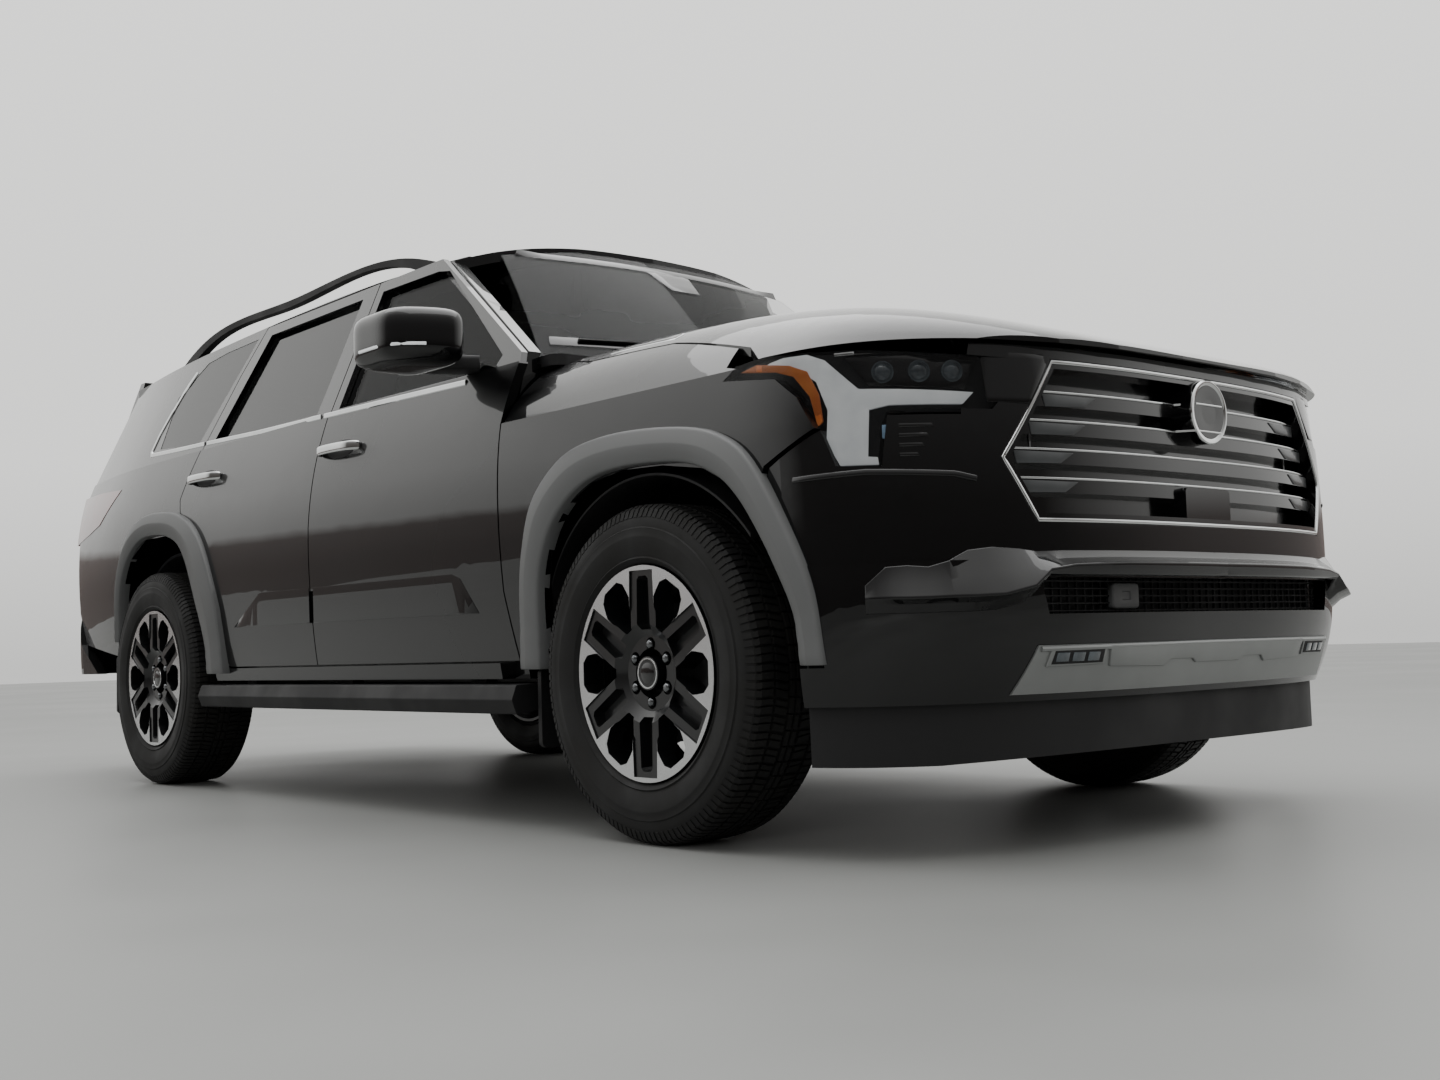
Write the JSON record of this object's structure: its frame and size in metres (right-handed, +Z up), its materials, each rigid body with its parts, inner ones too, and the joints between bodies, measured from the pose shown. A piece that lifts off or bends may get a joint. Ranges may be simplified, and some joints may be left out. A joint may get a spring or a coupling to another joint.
{
  "type": "full-size suv",
  "caption": "Full-size body-on-frame SUV with opening doors, hood and tailgate, steered front wheels and rolling wheels on a ladder frame.",
  "frame": {"origin": "on the ground, under the middle of the vehicle's length and width", "axes": "the front faces -Y, the vehicle's left side is +X, +Z is up"},
  "size_m": [2.4914, 5.2863, 1.887],
  "materials": {
    "body_paint": "gloss black clear-coated paint",
    "flare_paint": "satin grey moulded plastic",
    "trim_plastic": "grained black plastic",
    "grille_black": "gloss black plastic with chrome edges",
    "skid_silver": "satin silver paint",
    "clear_glass": "clear laminated glass",
    "privacy_glass": "dark tinted glass",
    "lamp_lens": "clear lamp lens",
    "red_lens": "red lamp lens",
    "tyre_rubber": "black tyre rubber",
    "wheel_alloy": "black painted and machined alloy",
    "frame_steel": "black coated steel",
    "cast_metal": "cast metal",
    "exhaust_steel": "stainless steel",
    "floor_metal": "painted floor with carpet",
    "seat_leather": "black perforated leather",
    "dash_plastic": "soft grained dashboard skin"
  },
  "bodies": {
    "body": {"body_sides": "body_paint", "front_fenders": "body_paint", "roof_panel": "body_paint", "roof_rails": "trim_plastic", "front_bumper": "body_paint", "rear_bumper": "body_paint", "front_grille": "grille_black", "headlamps": "lamp_lens", "tail_lamps": "red_lens", "skid_plate": "skid_silver", "wheel_arch_flares": "flare_paint", "running_boards": "trim_plastic", "mud_flaps": "trim_plastic", "windscreen": "clear_glass", "quarter_windows": "privacy_glass", "floor_pan": "floor_metal", "cowl_panel": "trim_plastic", "chassis_frame": "frame_steel", "engine": "cast_metal", "exhaust": "exhaust_steel", "fuel_tank": "frame_steel", "dashboard": "dash_plastic", "steering_wheel": "dash_plastic", "front_seats": "seat_leather", "rear_seats": "seat_leather", "front_control_arms": "cast_metal", "rear_axle": "cast_metal", "air_dam": "trim_plastic", "wheel_liners": "trim_plastic"},
    "hood": {"hood": "body_paint"},
    "tailgate": {"tailgate": "body_paint", "tailgate_glass": "privacy_glass"},
    "front_door_left": {"front_door_left": "body_paint", "front_door_glass_left": "clear_glass", "door_mirror_left": "body_paint"},
    "rear_door_left": {"rear_door_left": "body_paint", "rear_door_glass_left": "privacy_glass"},
    "knuckle_left": {"steering_knuckle_left": "cast_metal"},
    "front_wheel_left": {"front_wheel_left": "wheel_alloy", "front_tyre_left": "tyre_rubber"},
    "rear_wheel_left": {"rear_wheel_left": "wheel_alloy", "rear_tyre_left": "tyre_rubber"},
    "front_door_right": {"front_door_right": "body_paint", "front_door_glass_right": "clear_glass", "door_mirror_right": "body_paint"},
    "rear_door_right": {"rear_door_right": "body_paint", "rear_door_glass_right": "privacy_glass"},
    "knuckle_right": {"steering_knuckle_right": "cast_metal"},
    "front_wheel_right": {"front_wheel_right": "wheel_alloy", "front_tyre_right": "tyre_rubber"},
    "rear_wheel_right": {"rear_wheel_right": "wheel_alloy", "rear_tyre_right": "tyre_rubber"}
  },
  "joints": [
    {"name": "front_door_left_hinge", "type": "hinge", "parent": "body", "child": "front_door_left", "pos_m": [0.995, -1.098, 0.95], "axis": [0.04, 0, -0.9992], "range_deg": [0, 65]},
    {"name": "rear_door_left_hinge", "type": "hinge", "parent": "body", "child": "rear_door_left", "pos_m": [0.995, 0.0415, 0.95], "axis": [0.04, 0, -0.9992], "range_deg": [0, 65]},
    {"name": "steer_left", "type": "hinge", "parent": "body", "child": "knuckle_left", "pos_m": [0.7805, -1.678, 0.413], "axis": [0, 0, 1], "range_deg": [-33, 33]},
    {"name": "front_wheel_left_spin", "type": "hinge", "parent": "knuckle_left", "child": "front_wheel_left", "pos_m": [0.8725, -1.678, 0.413], "axis": [1, 0, 0], "continuous": true},
    {"name": "rear_wheel_left_spin", "type": "hinge", "parent": "body", "child": "rear_wheel_left", "pos_m": [0.8725, 1.421, 0.413], "axis": [1, 0, 0], "continuous": true},
    {"name": "front_door_right_hinge", "type": "hinge", "parent": "body", "child": "front_door_right", "pos_m": [-0.995, -1.098, 0.95], "axis": [0.04, 0, 0.9992], "range_deg": [0, 65]},
    {"name": "rear_door_right_hinge", "type": "hinge", "parent": "body", "child": "rear_door_right", "pos_m": [-0.995, 0.0415, 0.95], "axis": [0.04, 0, 0.9992], "range_deg": [0, 65]},
    {"name": "steer_right", "type": "hinge", "parent": "body", "child": "knuckle_right", "pos_m": [-0.7805, -1.678, 0.413], "axis": [0, 0, 1], "range_deg": [-33, 33]},
    {"name": "front_wheel_right_spin", "type": "hinge", "parent": "knuckle_right", "child": "front_wheel_right", "pos_m": [-0.8725, -1.678, 0.413], "axis": [1, 0, 0], "continuous": true},
    {"name": "rear_wheel_right_spin", "type": "hinge", "parent": "body", "child": "rear_wheel_right", "pos_m": [-0.8725, 1.421, 0.413], "axis": [1, 0, 0], "continuous": true},
    {"name": "hood_hinge", "type": "hinge", "parent": "body", "child": "hood", "pos_m": [0, -1.148, 1.321], "axis": [-1, 0, 0], "range_deg": [0, 50]},
    {"name": "tailgate_hinge", "type": "hinge", "parent": "body", "child": "tailgate", "pos_m": [0, 2.349, 1.796], "axis": [1, 0, 0], "range_deg": [0, 85]}
  ],
  "couplings": [
    {"joint": "steer_right", "follows": "steer_left", "ratio": 1}
  ]
}
